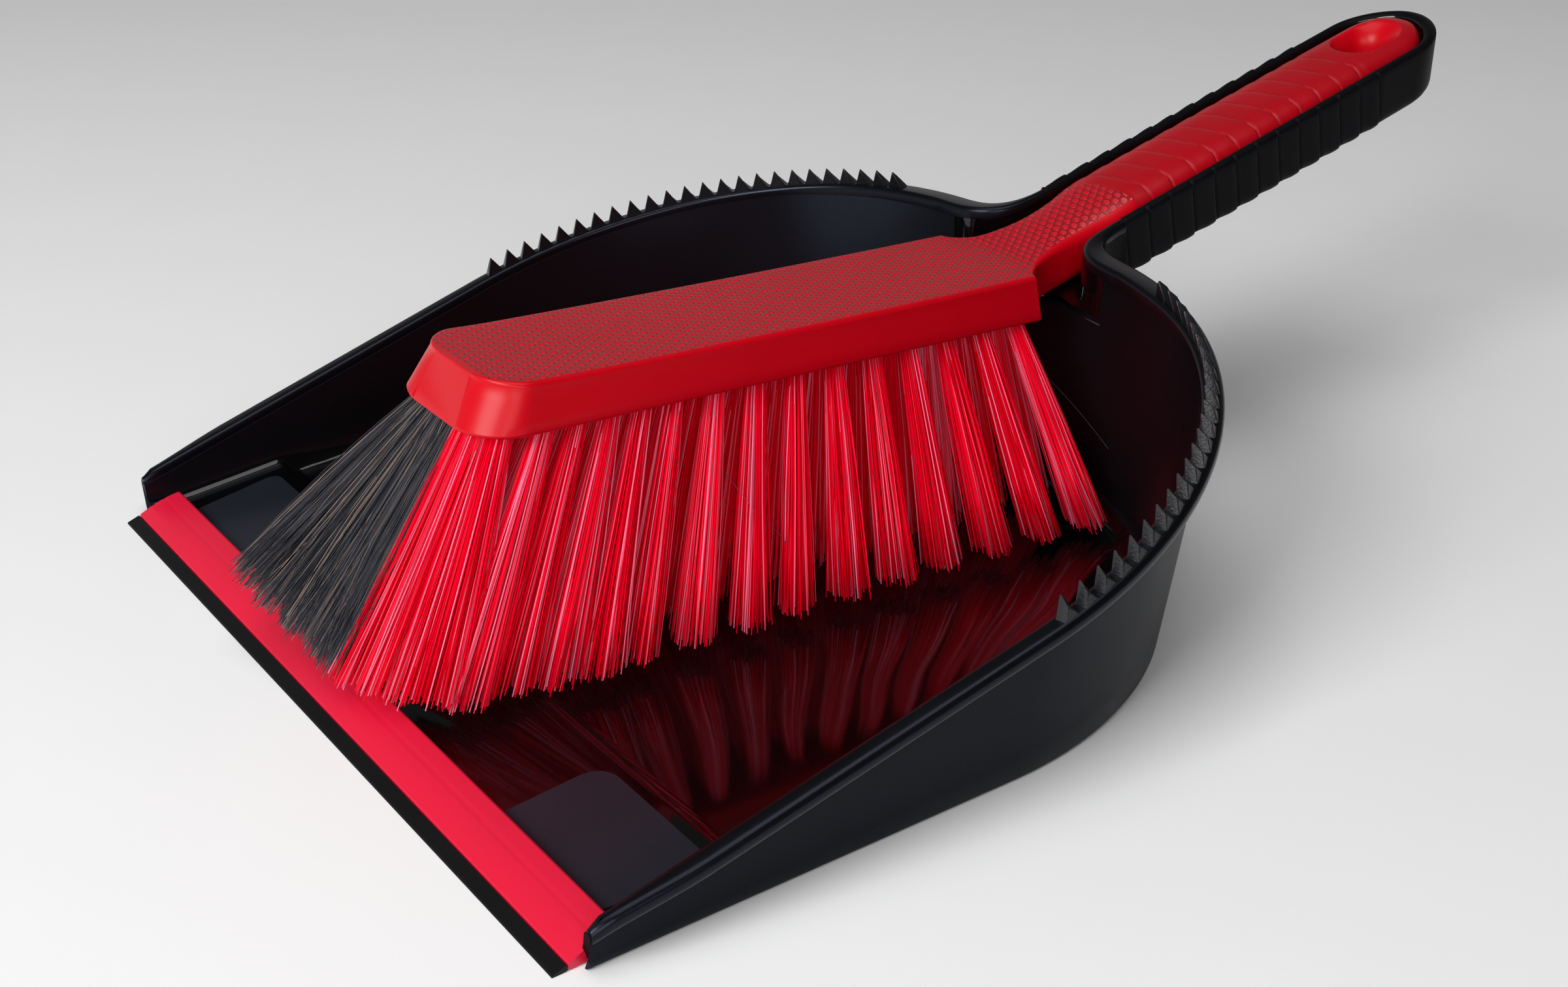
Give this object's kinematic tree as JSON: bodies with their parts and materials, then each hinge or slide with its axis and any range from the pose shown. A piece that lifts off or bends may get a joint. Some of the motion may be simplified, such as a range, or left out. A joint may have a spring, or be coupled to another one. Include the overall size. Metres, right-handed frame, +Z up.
{
  "type": "dust pan and brush set",
  "caption": "Dust pan with a soft sealing lip, toothed rim and channel handle, and a hand brush with splayed bristles that lies in it and lifts out.",
  "frame": {"origin": "bottom centre of the set's bounding box, on the floor", "axes": "+Y from the sealing lip towards the handles, +X across the pan, +Z up"},
  "size_m": [0.243, 0.3536, 0.104],
  "materials": {
    "pan_black": "black injection-moulded polypropylene, glossy inside the tray, satin outside",
    "lip_red": "pinkish red soft PVC profile, satin",
    "blade_black": "black soft sealing blade",
    "brush_red": "red injection-moulded polypropylene, dimpled on top, smooth on the sides",
    "bristle_red": "red translucent PET filaments",
    "hair_dark": "dark grey-brown natural hair mix"
  },
  "bodies": {
    "pan": {"pan": "pan_black", "lip_clip": "lip_red"},
    "lip": {"lip_blade": "blade_black"},
    "brush": {"brush_block": "brush_red", "hair_row": "hair_dark", "tuft_row_01": "bristle_red", "tuft_row_02": "bristle_red", "tuft_row_03": "bristle_red", "tuft_row_04": "bristle_red", "tuft_row_05": "bristle_red", "tuft_row_06": "bristle_red", "tuft_row_07": "bristle_red", "tuft_row_08": "bristle_red", "tuft_row_09": "bristle_red", "tuft_row_10": "bristle_red", "tuft_row_11": "bristle_red", "tuft_row_12": "bristle_red", "tuft_row_13": "bristle_red"}
  },
  "joints": [
    {"name": "brush_lift", "type": "slide", "parent": "pan", "child": "brush", "axis": [0, 0, 1], "range_m": [0, 0.2]},
    {"name": "lip_flex", "type": "hinge", "parent": "pan", "child": "lip", "pos_m": [0, -0.17385, 0.0008], "axis": [-1, 0, 0], "range_deg": [0, 18], "stiffness_Nm_per_rad": 0.15}
  ]
}
